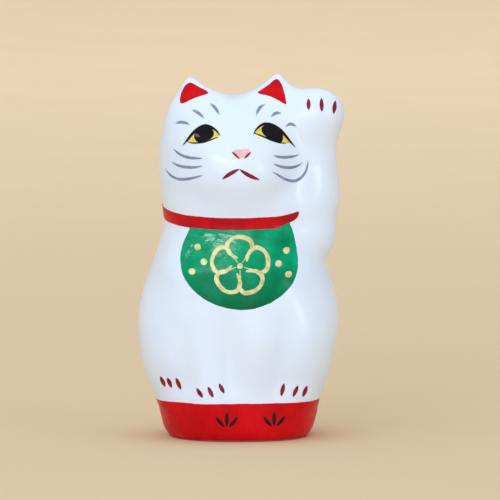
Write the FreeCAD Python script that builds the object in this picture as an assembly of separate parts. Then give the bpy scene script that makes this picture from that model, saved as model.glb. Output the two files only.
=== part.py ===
"""Beckoning cat figurine, hand-painted papier-mache, seated with its left paw raised.

Frame: millimetres, +Z up, origin at the centre of the foot, the cat faces -Y and its raised paw is at +X.

The outer form is one smooth field, form(x, y, z): about the distance to the surface, negative inside.
A pear-shaped body given by stations, a squarish head, ears, the raised arm, the legs and the tail are
blended together, as they are in the mould, and soft valleys part the legs. Every layer of the figurine is
the space between two depths of that field, so the layers fit each other: two moulded paper half shells that
meet at the plane y = 0, the paper strip pasted inside over their joint, the white ground coat over both, and
the coats of paint on that. A board, a pressed clay weight and a foot paper close the base.
"""

import FreeCAD
import Part

import os
from math import cos, exp, hypot, pi, sin, sqrt

from FreeCAD import Vector

# Layers, measured inwards from the white surface. A paint coat stands outside it, so its depth is negative.
COAT = 0.5             # white ground coat
PAPER = 2.0            # moulded paper wall
STRIP = 0.3            # paper strip over the joint, inside
PAINT = 0.12           # first coat of paint
DETAIL = 0.10          # fine brushwork over a first coat

# Foot and base
FOOT_PAPER = 0.4       # paper pasted under the foot
BOARD = 1.6            # card that closes the foot
CLAY_TOP = 10.0        # top of the clay pressed in above the card
FOOT_SHARE = 0.95      # the foot paper's size beside the rim that it covers
STRIP_HALF_WIDTH = 4.1 # the joint strip reaches this far to each side of the joint

# Body stations: height, half width, depth in front of the joint plane, depth behind it
BODY = [
    (0.0, 20.4, 19.8, 18.0),
    (1.0, 21.7, 21.2, 19.4),
    (3.0, 22.7, 22.3, 20.6),
    (9.5, 24.1, 23.4, 22.6),
    (17.0, 24.7, 23.6, 24.8),
    (25.0, 27.2, 24.0, 26.3),
    (34.0, 29.9, 24.8, 26.2),
    (42.5, 29.6, 25.3, 24.9),
    (50.0, 27.2, 25.0, 23.2),
    (57.5, 24.6, 23.2, 21.2),
    (65.0, 22.5, 21.4, 19.2),
    (72.0, 21.2, 20.8, 18.4),
    (80.0, 15.0, 14.0, 13.0),
    (88.0, 4.0, 4.0, 4.0),
]
BODY_SQUARENESS = 2.25

# The rays that find the surface start on a vertical axis up to this height, and from this one point above it
RAY_CENTRE_Z = 82.0
RAY_START = 60.0
ROWS_BELOW = 56        # rows of poles up the axis
ROWS_ABOVE = 48        # rows of poles from level to straight up
COLUMNS = 40           # columns of poles across each half

REACH = 70.0           # farther than any point of the figurine is from its axis
STROKE_STEPS = 8       # steps along each side of a brush stroke

# Paint, as (x, z) points seen from the front. Right and left are the cat's own: its right is at -X.
BAND_TOP = 11.9        # top of the red band round the base
COLLAR_LOW, COLLAR_HIGH = 66.7, 70.8                # the collar's edges at the joint plane
COLLAR_LOW_SLOPE, COLLAR_HIGH_SLOPE = 0.105, 0.125  # their rise towards the back
COLLAR_END = [(11.8, 64.8), (14.6, 66.0), (17.2, 67.3), (18.5, 69.9)]    # lower edge at the raised arm
COLLAR_GAP_BACK = 8.0  # the collar starts again this far behind the joint plane

BIB = [
    (-14.0, 66.2), (-16.2, 61.6), (-17.4, 58.1), (-17.6, 54.7), (-16.8, 50.9), (-14.6, 47.4), (-10.8, 44.1),
    (-5.6, 41.6), (0.4, 40.6), (6.4, 41.4), (10.9, 43.4), (14.9, 46.5), (17.3, 50.4), (17.9, 54.5),
    (17.3, 59.5), (15.2, 66.2),
]
BIB_DOT = 1.05
BIB_DOTS = [(-12.4, 59.2), (-10.5, 54.9), (-14.1, 52.0), (14.4, 58.1), (12.0, 54.3), (15.0, 51.0)]
BLOSSOM_X, BLOSSOM_Z = 0.4, 53.2
BLOSSOM_RING = 5.7     # from the blossom's heart to each petal's centre
PETAL, PETAL_LINE = 3.2, 1.2
BLOSSOM_HEART = 1.3

EAR = {
    "right": [(-17.8, 102.2), (-17.2, 105.4), (-15.0, 107.8), (-12.0, 106.6), (-9.2, 105.0), (-13.5, 103.4)],
    "left": [(14.4, 102.0), (13.6, 105.8), (11.6, 108.9), (8.9, 107.2), (5.7, 105.0), (10.0, 103.8)],
}
EYE = {
    "right": [
        (-15.3, 91.1), (-14.6, 92.2), (-13.5, 93.6), (-12.0, 94.8), (-10.2, 95.4), (-8.4, 95.2), (-6.9, 94.3),
        (-5.9, 92.9), (-7.1, 92.3), (-8.7, 91.7), (-10.5, 91.1), (-12.3, 90.8), (-14.1, 90.7),
    ],
    "left": [
        (15.4, 90.6), (14.3, 92.3), (12.8, 94.1), (10.9, 95.3), (8.8, 96.0), (7.0, 95.8), (5.6, 94.8),
        (4.9, 93.6), (6.3, 93.1), (8.2, 92.3), (10.3, 91.4), (12.2, 90.7), (14.0, 90.4),
    ],
}
PUPIL = {
    "right": [
        (-13.4, 93.2), (-12.6, 94.4), (-11.1, 95.3), (-9.3, 95.6), (-7.9, 94.9), (-7.4, 93.8), (-7.8, 92.6),
        (-9.0, 91.7), (-10.6, 91.1), (-12.2, 90.9), (-13.2, 91.7),
    ],
    "left": [
        (13.0, 90.8), (13.4, 91.9), (13.2, 93.2), (12.3, 94.6), (10.3, 95.7), (8.3, 96.0), (6.8, 95.2),
        (7.0, 93.9), (8.1, 92.6), (9.6, 91.7), (11.2, 91.0),
    ],
}
EYELID = {
    "right": [
        (-17.0, 89.7), (-15.5, 91.5), (-13.8, 93.5), (-12.0, 95.0), (-9.7, 95.8), (-7.8, 95.2), (-6.3, 94.0),
        (-5.4, 92.7),
    ],
    "left": [
        (17.2, 88.9), (15.9, 90.4), (14.4, 92.2), (12.5, 94.3), (10.3, 95.7), (8.2, 96.3), (6.3, 95.7),
        (5.1, 94.5), (4.4, 93.0),
    ],
}
EYELID_WIDTH = 1.0
NOSE = [(-1.8, 88.8), (0.6, 89.1), (3.3, 88.8), (2.6, 87.7), (1.2, 86.5), (0.3, 86.5), (-1.0, 87.7)]
NOSTRILS = [[(-2.1, 88.4), (0.3, 86.3)], [(3.8, 88.4), (1.6, 86.3)]]
NOSTRIL_WIDTH = 0.7
MOUTH = [[(0.3, 83.3), (-2.3, 82.0), (-5.0, 80.1)], [(0.2, 83.3), (2.8, 81.5), (6.4, 79.9)]]
LIP_WIDTH = 1.2
WHISKER_WIDTH = 0.8
WHISKERS = {
    "right": [
        [(-19.9, 88.8), (-18.3, 87.4), (-16.2, 86.5), (-13.8, 86.2), (-10.6, 86.3)],
        [(-20.5, 84.9), (-19.0, 83.9), (-16.5, 83.4), (-13.8, 83.4), (-10.6, 84.2)],
        [(-22.2, 82.3), (-20.8, 80.6), (-18.7, 79.6), (-15.9, 79.7), (-13.2, 80.4), (-10.6, 81.3)],
    ],
    "left": [
        [(10.3, 87.1), (12.5, 86.4), (14.9, 86.2), (17.0, 86.4), (18.4, 86.9)],
        [(10.2, 84.7), (12.5, 83.6), (15.2, 83.0), (17.6, 83.3), (19.4, 84.5)],
        [(10.0, 82.2), (12.5, 80.6), (14.9, 79.2), (17.6, 79.0), (19.7, 80.7), (20.7, 82.9), (20.8, 85.2)],
    ],
}
BROW_WIDTH = 0.8
BROW = {
    "right": [
        [(-19.3, 95.9), (-17.2, 96.5), (-14.6, 95.8)],
        [(-14.4, 100.1), (-12.3, 99.4), (-10.3, 97.7)],
        [(-8.8, 102.0), (-7.2, 100.9), (-5.8, 98.8)],
    ],
    "left": [
        [(8.1, 101.8), (6.1, 100.5), (5.3, 98.5)],
        [(9.7, 98.0), (10.9, 99.1), (13.0, 99.1)],
        [(14.0, 95.0), (15.6, 96.0), (17.5, 94.8)],
    ],
}
CLAW_WIDTH = 1.2
CLAWS = {
    "raised_paw": [
        [(21.1, 103.5), (21.1, 100.2)],
        [(25.0, 103.7), (25.1, 99.7)],
        [(29.2, 102.8), (28.7, 98.9)],
    ],
    "right_hind_paw": [
        [(-23.7, 19.6), (-22.3, 16.5)],
        [(-21.6, 19.4), (-20.3, 16.3)],
        [(-19.0, 19.5), (-17.5, 15.9)],
    ],
    "right_fore_paw": [
        [(-12.7, 16.6), (-10.9, 13.8)],
        [(-9.3, 17.1), (-7.7, 13.9)],
        [(-5.9, 18.1), (-4.4, 15.1)],
    ],
    "left_hind_paw": [
        [(13.7, 17.9), (12.8, 14.0)],
        [(17.9, 17.1), (16.4, 13.7)],
        [(20.7, 16.9), (19.4, 13.5)],
    ],
}
SPRIG_X = (-3.6, 10.7)    # centres of the two small black sprigs on the base
SPRIG_FOOT_Z = 4.7
SPRIG_HEIGHT = 4.9
SPRIG_SPREAD, SPRIG_DROP, SPRIG_BOW, SPRIG_GAP = 3.3, 1.4, 0.5, 0.5
SPRIG_WIDTH = 1.2


def blend(a, b, width):
    """The lesser of two distances, rounded over where they are within width of each other."""
    overlap = max(width - abs(a - b), 0.0)
    return min(a, b) - overlap * overlap / (4.0 * width)


def station(z):
    """Half width, front depth and back depth of the body at a height, smoothly between the stations."""
    z = min(max(z, BODY[0][0]), BODY[-1][0])
    i = 0
    while i < len(BODY) - 2 and z > BODY[i + 1][0]:
        i += 1
    low, high = BODY[i], BODY[i + 1]
    before, after = BODY[max(i - 1, 0)], BODY[min(i + 2, len(BODY) - 1)]
    span = high[0] - low[0]
    t = (z - low[0]) / span
    sizes = []
    for k in (1, 2, 3):
        leave = (high[k] - before[k]) / (high[0] - before[0]) * span
        arrive = (after[k] - low[k]) / (after[0] - low[0]) * span
        rise = high[k] - low[k]
        bend = t * t * (3 - 2 * t) * rise + t * (1 - t) * ((1 - t) * leave - t * arrive)
        sizes.append(low[k] + bend)
    return sizes


def body(x, y, z):
    """Distance to the body, level with the point. Above the last station it is the height over it."""
    width, front, back = station(z)
    depth = front if y < 0 else back
    n = BODY_SQUARENESS
    reach = (abs(x / width) ** n + abs(y / depth) ** n) ** (1 / n)
    level = hypot(x, y) * (1 - 1 / reach) if reach > 1e-3 else -min(width, depth)
    return max(level, z - BODY[-1][0])


class Bulge:
    """A rounded mass: an ellipsoid, or a squarer one as seen from the front."""

    def __init__(self, centre, size, blend_width, squareness=2.0):
        self.centre, self.size = centre, size
        self.blend_width, self.squareness = blend_width, squareness

    def distance(self, x, y, z):
        x, y, z = x - self.centre[0], y - self.centre[1], z - self.centre[2]
        width, depth, height = self.size
        n = self.squareness
        outline = (abs(x / width) ** n + abs(z / height) ** n) ** (2 / n)
        reach = sqrt(outline + (y / depth) ** 2)
        return sqrt(x * x + y * y + z * z) * (1 - 1 / reach) if reach > 1e-3 else -min(self.size)


class Limb:
    """A cone with round ends that it touches smoothly. Its depth is its width divided by flatness."""

    def __init__(self, start, end, start_radius, end_radius, blend_width, flatness=1.0):
        self.start, self.blend_width, self.flatness = start, blend_width, flatness
        self.start_radius, self.end_radius = start_radius, end_radius
        along = [e - s for s, e in zip(start, end)]
        self.length = sqrt(sum(a * a for a in along))
        self.axis = [a / self.length for a in along]
        self.lean = (start_radius - end_radius) / self.length
        self.facing = sqrt(1 - self.lean * self.lean)

    def distance(self, x, y, z):
        x, y, z = x - self.start[0], (y - self.start[1]) * self.flatness, z - self.start[2]
        ax, ay, az = self.axis
        along = x * ax + y * ay + z * az
        out = sqrt(max(x * x + y * y + z * z - along * along, 0.0))
        side = self.facing * along - self.lean * out
        if side < 0:
            return hypot(out, along) - self.start_radius
        if side > self.facing * self.length:
            return hypot(out, along - self.length) - self.end_radius
        return out * self.facing + along * self.lean - self.start_radius


# What is blended onto the body, in order
MASSES = [
    Bulge((-17.4, -6.5, 28.0), (11.8, 15.0, 18.0), 6.0),                        # right haunch
    Bulge((16.4, -6.5, 28.5), (11.6, 15.0, 18.0), 6.0),                         # left haunch
    Bulge((-14.6, -10.5, 13.5), (7.2, 8.0, 6.0), 5.0),                          # right hind paw
    Bulge((14.0, -11.0, 13.5), (7.2, 8.0, 6.0), 5.0),                           # left hind paw
    Limb((-13.5, -14.0, 50.0), (-8.2, -17.2, 13.0), 7.5, 6.0, 6.0),             # right foreleg
    Bulge((5.6, -11.4, 31.0), (11.0, 13.2, 17.0), 6.0),                         # belly
    Bulge((-1.7, -2.2, 84.0), (22.5, 22.8, 19.9), 7.0, 2.7),                    # head
    Bulge((-0.3, -18.2, 80.5), (10.0, 6.6, 7.0), 7.0),                          # muzzle
    Limb((16.5, -4.0, 66.0), (17.5, -4.0, 97.0), 8.4, 7.2, 8.0),                # web from head to arm
    Limb((21.0, -4.0, 62.5), (21.4, -4.0, 74.0), 8.6, 8.1, 5.0),                # upper arm
    Limb((21.4, -4.0, 74.0), (22.9, -5.0, 90.0), 8.1, 6.9, 5.0),                # forearm
    Bulge((23.9, -6.0, 98.7), (8.3, 8.4, 7.6), 5.0),                            # raised paw
    Limb((-13.0, -3.0, 98.6), (-14.7, -2.6, 108.0), 8.0, 1.7, 5.0, 1.15),       # right ear
    Limb((10.4, -3.0, 98.6), (11.7, -2.6, 108.8), 8.5, 1.7, 5.0, 1.15),         # left ear
    Limb((6.5, 21.6, 13.0), (1.5, 24.0, 27.0), 3.4, 2.6, 6.0),                  # tail, up the back
]


# Soft valleys between the legs, seen from the front: upper end, lower end, width, depth half way along
VALLEYS = [
    ((-1.6, 43.0), (-4.0, 10.0), 3.0, 0.9),         # beside the right foreleg
    ((14.8, 41.0), (10.2, 10.0), 3.2, 0.75),        # beside the left haunch
    ((-17.6, 37.0), (-15.0, 10.0), 2.8, 0.7),       # beside the right haunch
]


def valley_depth(x, z):
    """How far the valleys sink the front surface at a place."""
    sunk = 0.0
    for (top_x, top_z), (foot_x, foot_z), width, depth in VALLEYS:
        run_x, run_z = foot_x - top_x, foot_z - top_z
        share = ((x - top_x) * run_x + (z - top_z) * run_z) / (run_x * run_x + run_z * run_z)
        share = min(max(share, 0.0), 1.0)
        gap = hypot(x - top_x - share * run_x, z - top_z - share * run_z)
        sunk += depth * 4 * share * (1 - share) * exp(-(gap / width) ** 2)
    return sunk


def form(x, y, z):
    """About the signed distance from the figurine's white surface."""
    distance = body(x, y, z)
    for mass in MASSES:
        distance = blend(distance, mass.distance(x, y, z), mass.blend_width)
    return distance + valley_depth(x, z) if y < 0 else distance


def surface_reach(origin, direction, start, depth):
    """How far along a ray, coming in from start, the surface at that depth is."""
    reach = start
    for _ in range(60):
        gap = form(*(origin[k] + reach * direction[k] for k in range(3))) + depth
        if abs(gap) < 1e-4:
            break
        reach -= 0.85 * gap
    return reach


def rings(depths):
    """For each depth, from outside in: rows of points round the figurine, from the foot up to the crown."""
    found = [[] for _ in depths]
    for row in range(ROWS_BELOW + ROWS_ABOVE + 1):
        z = FOOT_PAPER + (RAY_CENTRE_Z - FOOT_PAPER) * min(row / ROWS_BELOW, 1.0)
        tilt = pi / 2 * max(row - ROWS_BELOW, 0) / ROWS_ABOVE
        for ring in found:
            ring.append([])
        for column in range(2 * COLUMNS):
            turn = pi * column / COLUMNS
            direction = (-cos(turn) * cos(tilt), -sin(turn) * cos(tilt), sin(tilt))
            reach = RAY_START
            for depth, ring in zip(depths, found):
                reach = surface_reach((0.0, 0.0, z), direction, reach, depth)
                point = Vector(*direction) * reach + Vector(0, 0, z)
                ring[-1].append(point)
    for ring in found:
        for line in ring:
            flatten_joint(line)
    return found


def flatten_joint(line):
    """Makes a ring cross the joint plane evenly, so that both halves end exactly on it."""
    for middle in (0, COLUMNS):
        before, after = line[middle - 1], line[middle + 1]
        step = (abs(before.y) + abs(after.y)) / 2
        line[middle].y = 0.0
        before.y = step if before.y > 0 else -step
        after.y = step if after.y > 0 else -step


def half_surface(ring, first):
    """A cubic surface over one half. Its poles are the rings' points from column first to the other side."""
    count = 2 * COLUMNS
    poles = [[line[(first + c) % count] for c in range(-1, COLUMNS + 2)] for line in ring]
    rows, columns = len(poles), len(poles[0])
    surface = Part.BSplineSurface()
    row_knots = list(range(rows - 2))
    row_mults = [4] + [1] * (rows - 4) + [4]
    column_knots = list(range(columns + 4))
    surface.buildFromPolesMultsKnots(
        poles, row_mults, [1] * len(column_knots), row_knots, column_knots, False, False, 3, 3
    )
    surface.segment(row_knots[0], row_knots[-1], 3, columns)
    return surface


class Skin:
    """The closed surface at one depth, as a front and a rear half that share their edges."""

    def __init__(self, ring):
        self.halves = [half_surface(ring, 0), half_surface(ring, COLUMNS)]
        self.faces = [half.toShape() for half in self.halves]
        self.foot_edges = [half.uIso(half.bounds()[0]).toShape() for half in self.halves]
        # the joint's two profiles, each from the foot to the crown, left (-X) first
        low, high = self.halves[0].bounds()[2:]
        self.profiles = [self.halves[0].vIso(low).toShape(), self.halves[0].vIso(high).toShape()]

    def foot_wire(self):
        return Part.Wire(Part.__sortEdges__(self.foot_edges))


def closed_solid(faces):
    shell = Part.Shell(faces)
    shell.sewShape()
    solid = Part.Solid(shell)
    if solid.Volume < 0:
        solid.reverse()
    return solid


def filled(skin):
    """Everything inside a skin, closed flat at the foot."""
    return closed_solid(skin.faces + [Part.Face(skin.foot_wire())])


def layer(outer, inner):
    """Everything between two skins, all the way round."""
    foot = Part.makeFace([outer.foot_wire(), inner.foot_wire()], "Part::FaceMakerBullseye")
    return closed_solid(outer.faces + inner.faces + [foot])


def half_layer(outer, inner, half):
    """The front (0) or rear (1) half of a layer, with flat rims at the joint and at the foot."""
    ends = [(o.Vertexes[0].Point, i.Vertexes[0].Point) for o, i in zip(outer.profiles, inner.profiles)]
    bridges = [Part.makeLine(*pair) for pair in ends]
    joint_rim = Part.Wire(Part.__sortEdges__(outer.profiles + inner.profiles + bridges))
    foot_rim = Part.Wire(Part.__sortEdges__([outer.foot_edges[half], inner.foot_edges[half]] + bridges))
    rims = [Part.Face(joint_rim), Part.Face(foot_rim)]
    return closed_solid([outer.faces[half], inner.faces[half]] + rims)


def slab(low, high, half_depth=REACH):
    """A box across the whole figurine between two heights, and between two depths if they are given."""
    corner = Vector(-REACH, -half_depth, low)
    return Part.makeBox(2 * REACH, 2 * half_depth, high - low, corner)


def spread(points):
    """Points given as (x, z) pairs, as vectors in the plane in front of the figurine."""
    return [Vector(x, -REACH, z) for x, z in points]


def stencil(wire):
    """What stands behind an outline drawn in front of the figurine, back to the joint plane."""
    return Part.Face(wire).extrude(Vector(0, REACH, 0))


def patch(points):
    """A stencil with a smooth closed outline through the points."""
    curve = Part.BSplineCurve()
    curve.interpolate(spread(points), PeriodicFlag=True)
    return stencil(Part.Wire(curve.toShape()))


def spot(x, z, radius):
    circle = Part.Circle(Vector(x, -REACH, z), Vector(0, 1, 0), radius)
    return stencil(Part.Wire(circle.toShape()))


def stroke(points, width, blunt=0.7):
    """A stencil for one brush stroke through the points: full width at its middle, tapered to its ends."""
    centre = Part.BSplineCurve()
    centre.interpolate(spread(points))
    first, last = centre.FirstParameter, centre.LastParameter
    sides = []
    for side in (-1, 1):
        edge_points = []
        for i in range(STROKE_STEPS + 1):
            at = first + (last - first) * i / STROKE_STEPS
            along = centre.tangent(at)[0]
            across = Vector(-along.z, 0, along.x)
            swell = sin(pi * i / STROKE_STEPS) ** blunt if 0 < i < STROKE_STEPS else 0.0
            edge_points.append(centre.value(at) + across * (side * width / 2 * swell))
        edge = Part.BSplineCurve()
        edge.interpolate(edge_points)
        sides.append(edge.toShape())
    return stencil(Part.Wire(Part.__sortEdges__(sides)))


def painted(film, stencils):
    """For each stencil, the nearest part of a coat of paint that lies behind it."""
    pieces = [film.common(one).Solids for one in stencils]
    return Part.makeCompound([min(found, key=lambda piece: piece.CenterOfMass.y) for found in pieces])


def save(name, shape):
    if not shape.isValid() or shape.Volume <= 0:
        print("check", name, shape.isValid(), shape.Volume)
    shape.exportStep(os.path.join("parts", name + ".step"))
    print(name, len(shape.Solids), round(shape.Volume, 2))


def build_structure(white, paper, cavity, strip):
    save("paper_shell_front", half_layer(paper, cavity, 0))
    save("paper_shell_rear", half_layer(paper, cavity, 1))
    save("ground_coat", layer(white, paper))
    along_joint = slab(CLAY_TOP, REACH * 2, STRIP_HALF_WIDTH)
    save("joint_strip", layer(cavity, strip).common(along_joint))
    hollow = filled(cavity)
    board_top = FOOT_PAPER + BOARD
    save("base_board", hollow.common(slab(FOOT_PAPER, board_top)))
    save("clay_weight", hollow.common(slab(board_top, CLAY_TOP)))
    foot = Part.Face(white.foot_wire()).scaled(FOOT_SHARE)
    foot.translate(Vector(0, 0, -foot.CenterOfMass.z))
    save("foot_paper", foot.extrude(Vector(0, 0, FOOT_PAPER)))


def collar_form():
    """The space between the collar's two edges, without the gap where the raised arm comes out."""
    edges = (
        (-REACH, COLLAR_LOW - COLLAR_LOW_SLOPE * REACH),
        (REACH, COLLAR_LOW + COLLAR_LOW_SLOPE * REACH),
        (REACH, COLLAR_HIGH + COLLAR_HIGH_SLOPE * REACH),
        (-REACH, COLLAR_HIGH - COLLAR_HIGH_SLOPE * REACH),
    )
    profile = Part.makePolygon([Vector(-REACH, y, z) for y, z in edges + edges[:1]])
    band = Part.Face(profile).extrude(Vector(2 * REACH, 0, 0))
    (start_x, _), (end_x, _) = COLLAR_END[0], COLLAR_END[-1]
    lower_edge = Part.BSplineCurve()
    lower_edge.interpolate(spread(COLLAR_END))
    far = [(end_x, 2 * REACH), (REACH, 2 * REACH), (REACH, 0.0), (start_x, 0.0)]
    outside = Part.makePolygon(spread([COLLAR_END[-1]] + far + [COLLAR_END[0]]))
    gap = Part.Face(Part.Wire([lower_edge.toShape()] + outside.Edges))
    return band.cut(gap.extrude(Vector(0, REACH + COLLAR_GAP_BACK, 0)))


def build_base_and_neck(film, detail):
    save("base_band", film.common(slab(FOOT_PAPER, BAND_TOP)))
    collar = collar_form()
    save("collar", film.common(collar))
    save("bib", painted(film, [patch(BIB).cut(collar)]))
    save("bib_dots", painted(detail, [spot(x, z, BIB_DOT) for x, z in BIB_DOTS]))
    petals = []
    for i in range(5):
        turn = 2 * pi * i / 5
        x, z = BLOSSOM_X + BLOSSOM_RING * sin(turn), BLOSSOM_Z + BLOSSOM_RING * cos(turn)
        petals.append(spot(x, z, PETAL).cut(spot(x, z, PETAL - PETAL_LINE)))
    save("bib_blossom", painted(detail, petals + [spot(BLOSSOM_X, BLOSSOM_Z, BLOSSOM_HEART)]))


def build_face(film, detail):
    for side in ("right", "left"):
        save("ear_red_" + side, painted(film, [patch(EAR[side])]))
        save("iris_" + side, painted(film, [patch(EYE[side])]))
        save("pupil_" + side, painted(detail, [patch(PUPIL[side])]))
        save("eyelid_" + side, painted(detail, [stroke(EYELID[side], EYELID_WIDTH)]))
        save("whiskers_" + side, painted(film, [stroke(hair, WHISKER_WIDTH) for hair in WHISKERS[side]]))
        save("brow_" + side, painted(film, [stroke(hair, BROW_WIDTH) for hair in BROW[side]]))
    save("nose", painted(film, [patch(NOSE)]))
    save("nostrils", painted(detail, [stroke(line, NOSTRIL_WIDTH) for line in NOSTRILS]))
    save("mouth", painted(film, [stroke(line, LIP_WIDTH) for line in MOUTH]))


def build_claws(film):
    for paw, marks in CLAWS.items():
        save("claws_" + paw, painted(film, [stroke(mark, CLAW_WIDTH) for mark in marks]))


def build_base_marks(detail):
    leaves = []
    for x in SPRIG_X:
        for lean in (-1, 0, 1):
            tip = (x + lean * SPRIG_SPREAD, SPRIG_FOOT_Z + SPRIG_HEIGHT - abs(lean) * SPRIG_DROP)
            middle = ((x + tip[0]) / 2 + lean * SPRIG_BOW, (SPRIG_FOOT_Z + tip[1]) / 2)
            leaves.append(stroke([(x + lean * SPRIG_GAP, SPRIG_FOOT_Z), middle, tip], SPRIG_WIDTH))
    save("base_sprigs", painted(detail, leaves))


def main():
    os.makedirs("parts", exist_ok=True)
    cavity_depth = COAT + PAPER
    depths = (-PAINT - DETAIL, -PAINT, 0.0, COAT, cavity_depth, cavity_depth + STRIP)
    over, on, white, paper, cavity, strip = [Skin(ring) for ring in rings(depths)]
    film, detail = layer(on, white), layer(over, on)
    build_structure(white, paper, cavity, strip)
    build_base_and_neck(film, detail)
    build_face(film, detail)
    build_claws(film)
    build_base_marks(detail)


main()
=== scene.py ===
"""Looks of the beckoning cat figurine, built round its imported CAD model.

Lengths are millimetres in the CAD frame until a mesh is made: +Z up, the cat faces -Y, its raised paw is
at +X. The white skin is sampled from the CAD ground coat as a fine grid, with the slight unevenness of
pasted paper added. Every field of paint takes its outline from its own CAD film, gets a brushed edge and is
laid on that skin as a thin closed solid. The blossom on the bib is drawn stroke by stroke. The stage, the
lights, the camera and the ranges given to Material.along are in metres.
"""

from math import cos, pi, radians, sin

import bpy
import numpy as np
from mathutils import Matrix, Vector, noise
from mathutils.bvhtree import BVHTree
from mathutils.geometry import delaunay_2d_cdt


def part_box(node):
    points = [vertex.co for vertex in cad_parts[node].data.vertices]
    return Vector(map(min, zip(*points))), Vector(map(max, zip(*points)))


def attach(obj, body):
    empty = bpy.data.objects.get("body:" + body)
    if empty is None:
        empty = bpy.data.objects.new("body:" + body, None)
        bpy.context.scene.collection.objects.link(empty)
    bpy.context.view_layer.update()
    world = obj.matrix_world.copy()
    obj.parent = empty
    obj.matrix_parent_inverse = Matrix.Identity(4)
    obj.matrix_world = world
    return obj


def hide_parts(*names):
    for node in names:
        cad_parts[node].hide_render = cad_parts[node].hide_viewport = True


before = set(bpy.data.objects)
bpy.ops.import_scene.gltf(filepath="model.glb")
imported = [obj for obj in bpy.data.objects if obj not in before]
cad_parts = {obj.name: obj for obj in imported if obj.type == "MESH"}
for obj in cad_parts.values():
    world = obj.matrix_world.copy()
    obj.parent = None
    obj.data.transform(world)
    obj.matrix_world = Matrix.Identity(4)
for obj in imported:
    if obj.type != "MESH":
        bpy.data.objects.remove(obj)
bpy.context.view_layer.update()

MM = 0.001
OUTSIDE = 90.0               # farther than any point of the figurine is from its axis

# Skin grid
SIDE_ROWS, CROWN_ROWS = 210, 120
SKIN_COLUMNS = 384
CROWN_CENTRE_Z = 82.0        # rays for the crown fan out from this height on the axis
FAIRING_STEPS = 14
FOOT_MARGIN = 0.01           # the lowest row of rays is this far above the foot
UNDER_ROWS = 10

# Unevenness of the skin: (height, size) of each scale of it
SKIN_WAVES = [(0.16, 15.0), (0.05, 5.0), (0.012, 1.6)]
JOINT_RIDGE, JOINT_RIDGE_WIDTH = 0.10, 1.6

# Paint films
FILM = 0.08                  # how far a first coat stands out
DETAIL = 0.13                # work over a first coat
TOP_DETAIL = 0.17            # work over that
COLLAR_FILM = 0.14           # the collar is painted over the top of the bib
HAIR_FILM = 0.05             # whiskers and brows are thin
FILM_ROOT = 0.12             # how far a film goes down into the skin
FEATHER = 0.012              # height of a film at its very edge
EDGE = 0.22                  # width of the rounded edge of a field of paint
FINE_EDGE = 0.08             # and of a fine stroke
RIM = 0.012                  # paint stands a little higher just inside its edge
BRUSH_MARK = 0.012           # relief of the brush marks in the base band and the collar
SMALLEST_PATCH = 0.02        # square millimetres; smaller loops are slivers in the CAD film's mesh

# Base band
BAND_RADIUS = 24             # about its own, to give the noise round it a size
BAND_START = 0.12            # its lowest row above its lower edge, where it turns in under the rim

# Collar and bib
COLLAR_END, COLLAR_TAIL = 1.0, 3.5    # the collar's front and rear ends are rounded over these lengths
COLLAR_CURL, CURL_LENGTH = 0.9, 7.0   # its front end curls up this much, over this length
BIB_TUCK = 0.8               # how far the bib reaches under the collar
BLOSSOM_STROKE = 1.45        # width of the blossom's brush strokes at their broadest
HEART_RADIUS = 0.95
PETALS = 5


# ---------------------------------------------------------------- geometry helpers

def node_mesh(name):
    """Welded corners and triangles of a CAD node."""
    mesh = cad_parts[name].data
    mesh.calc_loop_triangles()
    corners = np.empty(len(mesh.vertices) * 3)
    mesh.vertices.foreach_get("co", corners)
    triangles = np.empty(len(mesh.loop_triangles) * 3, int)
    mesh.loop_triangles.foreach_get("vertices", triangles)
    corners = corners.reshape(-1, 3) / MM
    _, first, welded = np.unique(np.round(corners, 3), axis=0, return_index=True, return_inverse=True)
    triangles = welded.reshape(-1)[triangles].reshape(-1, 3)
    distinct = (triangles != np.roll(triangles, 1, axis=1)).all(axis=1)
    return corners[first], triangles[distinct]


def unit(vectors):
    """The vectors at length 1."""
    lengths = np.linalg.norm(vectors, axis=-1, keepdims=True)
    return vectors / np.maximum(lengths, 1e-12)


def rough(points, size, seed=0.0):
    """Smooth noise from about -1 to 1 at each point. size is its grain, one number or one per axis."""
    scaled = points / size + seed
    values = [noise.noise(Vector(p)) for p in scaled.reshape(-1, 3).tolist()]
    return np.array(values).reshape(points.shape[:-1])


def make_piece(name, corners, faces, material, node):
    """A smooth visual piece that stands in for a CAD node."""
    mesh = bpy.data.meshes.new(name)
    mesh.from_pydata((np.asarray(corners) * MM).tolist(), [], faces)
    mesh.validate()
    mesh.polygons.foreach_set("use_smooth", [True] * len(mesh.polygons))
    piece = bpy.data.objects.new(name, mesh)
    bpy.context.scene.collection.objects.link(piece)
    mesh.materials.append(material)
    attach(piece, "root")
    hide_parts(node)
    return piece


def band_faces(rows, columns):
    """Quads between closed rows of points that are numbered row by row."""
    faces = []
    for row in range(rows - 1):
        here, above = row * columns, (row + 1) * columns
        for c in range(columns):
            after = (c + 1) % columns
            faces.append([here + c, here + after, above + after, above + c])
    return faces


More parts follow.
